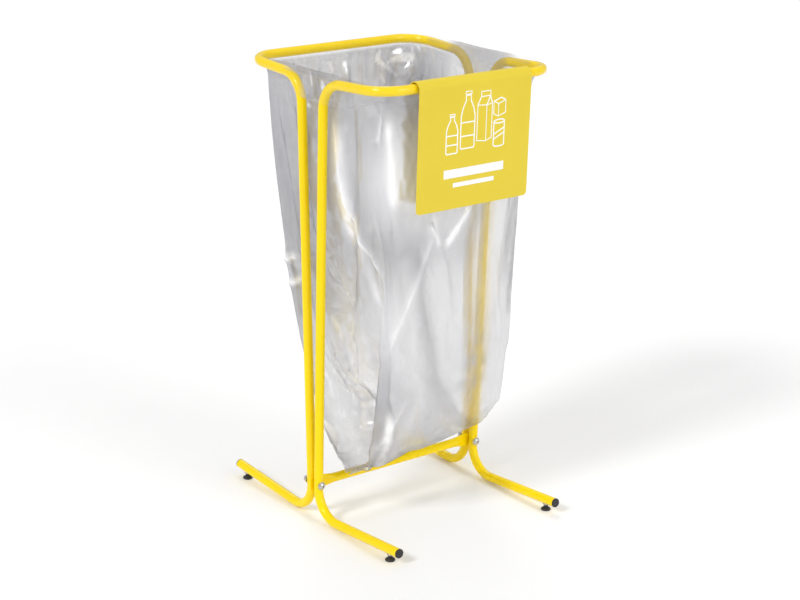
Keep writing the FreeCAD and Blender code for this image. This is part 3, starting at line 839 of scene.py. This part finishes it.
def body_haze(share, height, to_weld):
    """Haze of the body. It differs round the bag, so that places with more layers aren't darker."""
    low = under_level(height, *LOW_PART)
    high = 1 - low
    # The back is hazier, low down only in its middle
    rear = in_band(share, *REAR_BAND) * high + LOW_REAR_SHARE * in_band(share, *LOW_REAR_BAND) * low
    corners = sum(np.exp(-((apart(share, corner) / CORNER_WIDTH) ** 2)) for corner in CORNERS)
    haze = BODY_HAZE + (REAR_HAZE - BODY_HAZE) * rear + CORNER_HAZE * corners * high
    # The gussets are clearer, and so is the back where they lie in front of it
    gussets = sum(in_band(share, *band) for band in GUSSET_BANDS)
    haze = haze * (1 - GUSSET_LOSS * gussets * under_level(height, *GUSSET_PART))
    outer, inner = (in_band(share, *band) for band in BEHIND_GUSSETS)
    haze = haze * (1 - BEHIND_GUSSETS_LOSS * outer * (1 - inner) * low)
    front = in_band(share, *FRONT_BAND)
    haze = haze * (1 + front * (LOW_FRONT_EXTRA * low - HIGH_FRONT_LOSS * high))
    # The right side is tight against the posts, which show through it
    right = in_band(share, *RIGHT_BAND) * under_level(height, *RIGHT_PART)
    haze = haze * (1 - RIGHT_LOSS * right)
    return haze * (1 - WELD_LOSS * np.exp(-to_weld / WELD_LOSS_REACH))


def open_between_posts(rim, half_lengths, end):
    """1 where the film bridges two posts, with a half length for the left side and one for the right."""
    half_length = np.where(rim[:, 0] < 0, *half_lengths)
    return smooth((half_length - np.abs(rim[:, 1])) / end) * (np.abs(rim[:, 0]) > AT_SIDE)


def film_haze(grid, creased, white):
    """How much of the view each point of the film hides."""
    rows, columns = grid.shape[:2]
    share = np.arange(columns) / columns
    row = np.arange(rows)[:, None]
    haze = body_haze(share, grid[..., 2], (rows - 1 - row) / (2.0 * BODY_ROWS))
    # The cuff is tight and hardly seen, least where it lies on the tube
    fold_start = 2 * CUFF_ROWS
    body_start = 2 * FIRST_BODY_ROW
    on_cuff = smooth((body_start - row) / CUFF_FADE_ROWS)
    haze = haze + (CUFF_HAZE - haze) * on_cuff
    on_tube = smooth((row - fold_start + TUBE_FADE_ROWS) / TUBE_FADE_ROWS)
    on_tube = on_tube * smooth(body_start + PAST_TUBE_ROWS - row)
    haze = haze * (1 - on_tube) + TUBE_HAZE * on_tube
    # Between the posts the fold and the cuff have nothing behind them
    rim = outline(*RIM, share)
    open_fold = open_between_posts(rim, OPEN_FOLD, OPEN_FOLD_END)
    open_cuff = open_between_posts(rim, OPEN_CUFF, OPEN_CUFF_END)
    bridge = np.where(row < fold_start, open_cuff, open_fold) * (row < body_start + BRIDGE_ROWS)
    haze = haze * (1 - bridge) + BRIDGE_HAZE * bridge
    crest = open_between_posts(rim, (CREST_HALF_LENGTH, CREST_HALF_LENGTH), CREST_END)
    crest = crest * np.exp(-(((row - body_start + CREST_ABOVE_BODY) / CREST_ROWS) ** 2))
    haze = np.maximum(haze, CREST_HAZE * crest)
    return np.clip(haze + CREASE_HAZE * creased + STREAK_HAZE * white, 0, 1)


def point_value(material, name):
    """A value that is stored at the points of the mesh."""
    return add_node(material, "ShaderNodeAttribute", attribute_name=name).outputs["Fac"]


def product(material, first, second, clamp=False):
    """One value times another."""
    times = add_node(material, "ShaderNodeMath", operation="MULTIPLY", use_clamp=clamp)
    join(material, first, times.inputs[0])
    join(material, second, times.inputs[1])
    return times.outputs["Value"]


def scaled(material, source, factor, added=0.0, clamp=False):
    """A value times a number, plus a number."""
    times = add_node(material, "ShaderNodeMath", operation="MULTIPLY_ADD", use_clamp=clamp)
    join(material, source, times.inputs[0])
    times.inputs[1].default_value = factor
    times.inputs[2].default_value = added
    return times.outputs["Value"]


def mixed(material, share, first, second):
    """The first shader, with a share of the second."""
    mix = add_node(material, "ShaderNodeMixShader")
    join(material, share, mix.inputs[0])
    join(material, first, mix.inputs[1])
    join(material, second, mix.inputs[2])
    return mix.outputs["Shader"]


def film_material():
    """Clear film: mostly transparent, painted white where its highlights and sheen are painted on, hazier where it
    is seen edge on.
    """
    material, film = new_material("film")
    # The base colour runs from the film's grey to the white of its painted highlights
    tint = add_node(material, "ShaderNodeValToRGB")
    tint.color_ramp.elements[0].color = (*FILM_COLOUR, 1)
    tint.color_ramp.elements[1].color = (*PAINTED_HIGHLIGHT_COLOUR, 1)
    join(material, point_value(material, "white"), tint.inputs["Fac"])
    join(material, tint.outputs["Color"], film.inputs["Base Color"])
    film.inputs["IOR"].default_value = FILM_IOR
    film.inputs["Specular IOR Level"].default_value = 1.0
    gloss = spread_range(material, object_noise(material, GLOSS_PATCHES), *FILM_ROUGHNESS)
    join(material, gloss, film.inputs["Roughness"])
    add_bump(material, film, object_noise(material, CRINKLES), *CRINKLE_BUMP)

    clouds = spread_range(material, object_noise(material, CLOUD_PATCHES, detail=4.0), *CLOUD_RANGE)
    edge_on = add_node(material, "ShaderNodeLayerWeight", Blend=EDGE_ON_BLEND).outputs["Facing"]
    clouded = product(material, point_value(material, "haze"), clouds)
    edge_factor = scaled(material, edge_on, EDGE_ON_EXTRA, added=1.0)
    opacity = product(material, clouded, edge_factor, clamp=True)

    # What lies well behind hazy film is seen blurred
    clear = add_node(material, "ShaderNodeBsdfTransparent")
    blurred = add_node(material, "ShaderNodeBsdfRefraction", IOR=BLUR_IOR, Roughness=BLUR_ROUGHNESS)
    blurred.inputs["Color"].default_value = (1, 1, 1, 1)
    free_haze = product(material, opacity, point_value(material, "free"))
    blur_share = scaled(material, free_haze, BLUR_PER_HAZE, clamp=True)
    behind = mixed(material, blur_share, clear.outputs["BSDF"], blurred.outputs["BSDF"])
    seen = mixed(material, opacity, behind, film.outputs["BSDF"])
    join(material, seen, material.node_tree.nodes["Material Output"].inputs["Surface"])
    return material


def make_bag():
    grid = film_grid()
    grid = settle(grid)
    grid, creased = crease_film(finer(grid))
    mesh = grid_mesh("film_bag", grid)
    white = painted_film_highlights(grid, creased)
    # The film hangs free of the tube a little below the rim
    free = smooth((np.arange(len(grid)) - 2 * FIRST_BODY_ROW) / CLEAR_OF_RIM_ROWS)
    # white holds the painted highlights, glints and sheen, and the film is hazier where they are
    layers = {
        "white": white,
        "haze": film_haze(grid, creased, white),
        "free": np.broadcast_to(free[:, None], white.shape),
    }
    for name, values in layers.items():
        layer = mesh.attributes.new(name, "FLOAT", "POINT")
        layer.data.foreach_set("value", values.ravel().astype(np.float32))
    mesh.materials.append(film_material())
    mesh.polygons.foreach_set("use_smooth", [True] * len(mesh.polygons))
    bag = bpy.data.objects.new("film_bag", mesh)
    bpy.context.scene.collection.objects.link(bag)
    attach(bag, "bag")
    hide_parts("bag")


# ---------------------------------------------------------------- print on the sign
# Half width of a stroke, and how flat it is pressed
INK_HALF_WIDTH = 0.0013
INK_FLATNESS = 0.16


def arc(centre, radii, start, end, steps=10):
    """Points on an ellipse between two angles in degrees."""
    angles = [math.radians(start + (end - start) * step / steps) for step in range(steps + 1)]
    return [(centre[0] + radii[0] * math.cos(a), centre[1] + radii[1] * math.sin(a)) for a in angles]


def mirrored(points, middle):
    """An outline that goes up one side and comes back down the other."""
    return points + [(2 * middle - x, y) for x, y in reversed(points)]


def bottle_lines(x, y, half, height):
    """A bottle: base, straight body, sloping shoulder, neck and cap, with a label band."""
    shoulder = y + 0.58 * height
    side = arc((x - half + 0.003, y + 0.003), (0.003, 0.003), 270, 180, 4)
    side += [(x - half, shoulder), (x - 0.75 * half, y + 0.72 * height)]
    side += [(x - 0.34 * half, y + 0.84 * height), (x - 0.34 * half, y + 0.93 * height)]
    cap = [(x - 0.42 * half, y + 0.95 * height), (x - 0.42 * half, y + height)]
    label = [[(x - half, y + part * height), (x + half, y + part * height)] for part in (0.22, 0.46)]
    return [(mirrored(side, x), True), (mirrored(cap, x), True)] + [(line, False) for line in label]


def carton_lines(x, y, half, height):
    """A drink carton with a gable top, its two faces seen from a corner."""
    edge = x + 0.25 * half
    eaves = y + 0.74 * height
    corner = (edge, eaves - 0.02 * height)
    front = [(x - half, y + 0.03 * height), (edge, y), corner, (x - half, eaves)]
    side = [(edge, y), (x + half, y + 0.05 * height), (x + half, eaves), corner]
    ridge = [(x - 0.55 * half, y + 0.9 * height), (x + 0.72 * half, y + 0.9 * height)]
    top = [(x - half, eaves), *ridge, (x + half, eaves)]
    flap = [ridge[0], (x - 0.55 * half, y + height), (x + 0.72 * half, y + height), ridge[1]]
    gable = [corner, ridge[1]]
    return [(front, True), (side, True), (top, False), (flap, True), (gable, False)]


def can_lines(x, y, half, height):
    """A drink can: two rims, a body and a slanting band."""
    rim = 0.28 * half
    top = y + height
    body = arc((x, y + rim), (half, rim), 180, 360)
    lid = arc((x, top - rim), (half, rim), 0, 360, 20)
    side = [[(x + way * half, y + rim), (x + way * half, top - rim)] for way in (-1, 1)]
    band = [[(x - half, y + low * height), (x + half, y + (low + 0.22) * height)] for low in (0.28, 0.46)]
    return [(body, False), (lid, False)] + [(line, False) for line in side + band]


def box_lines(x, y, half, height):
    """A closed carton box seen from a corner."""
    edge = x - 0.2 * half
    skew = 0.16 * height
    top = y + height - skew
    front = [(x - half, y + skew), (edge, y), (edge, top - skew), (x - half, top)]
    side = [(edge, y), (x + half, y + skew), (x + half, top), (edge, top - skew)]
    lid = [(x - half, top), (x + 0.2 * half, y + height), (x + half, top)]
    return [(front, True), (side, True), (lid, False)]


def bar_lines(x, y, half, thickness):
    """A plain bar, filled by strokes side by side."""
    spacing = 1.5 * INK_HALF_WIDTH
    count = max(1, round(thickness / spacing))
    heights = [y + step * spacing for step in range(count)]
    return [([(x - half, height), (x + half, height)], False) for height in heights]


def print_on_sign(name, lines, material):
    """Ink strokes on the sign's face, in metres to the right of its middle and up."""
    face = next(mount for mount in frame["record"]["mounts"] if mount["name"] == "sign_face")
    middle = Vector(face["pos_m"])
    lift = next(joint for joint in frame["joints"] if joint["name"] == "sign_lift")
    up = Vector(lift["axis"]).normalized()
    across = Vector((1, 0, 0))
    outward = across.cross(up)
    curve = bpy.data.curves.new(name, "CURVE")
    curve.dimensions = "3D"
    curve.bevel_depth = INK_HALF_WIDTH
    curve.bevel_resolution = 2
    curve.use_fill_caps = True
    for points, closed in lines:
        stroke = curve.splines.new("POLY")
        stroke.points.add(len(points) - 1)
        for point, (x, y) in zip(stroke.points, points):
            point.co = (x, y, 0, 1)
        stroke.use_cyclic_u = closed
    maker = bpy.data.objects.new(name + "_maker", curve)
    mesh = bpy.data.meshes.new_from_object(maker)
    bpy.data.objects.remove(maker)
    mesh.name = name
    basis = Matrix((across, up, outward * INK_FLATNESS)).transposed().to_4x4()
    mesh.transform(Matrix.Translation(middle) @ basis)
    mesh.materials.clear()
    mesh.materials.append(material)
    piece = bpy.data.objects.new(name, mesh)
    bpy.context.scene.collection.objects.link(piece)
    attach(piece, "sign")


def make_print(material):
    """A row of packages and two blank bars. Each is placed by X, foot, half width and height."""
    base = -0.012
    drawings = {
        "printed_small_bottle": bottle_lines(-0.054, base, 0.013, 0.072),
        "printed_tall_bottle": bottle_lines(-0.018, base + 0.006, 0.016, 0.104),
        "printed_carton": carton_lines(0.021, base + 0.014, 0.017, 0.092),
        "printed_can": can_lines(0.056, base, 0.0125, 0.050),
        "printed_box": box_lines(0.056, base + 0.056, 0.014, 0.034),
        "printed_wide_bar": bar_lines(0.0, -0.056, 0.070, 0.016),
        "printed_narrow_bar": bar_lines(0.0, -0.074, 0.048, 0.007),
    }
    for name, lines in drawings.items():
        print_on_sign(name, lines, material)


materials = make_materials()
make_camera()
make_studio()
slots = {part["node"]: part["material_slot"] for part in frame["record"]["subparts"]}
for node, thing in frame["nodes"].items():
    if slots[node] in materials:
        thing.data.materials.clear()
        thing.data.materials.append(materials[slots[node]])
make_bag()
make_print(materials["white_ink"])
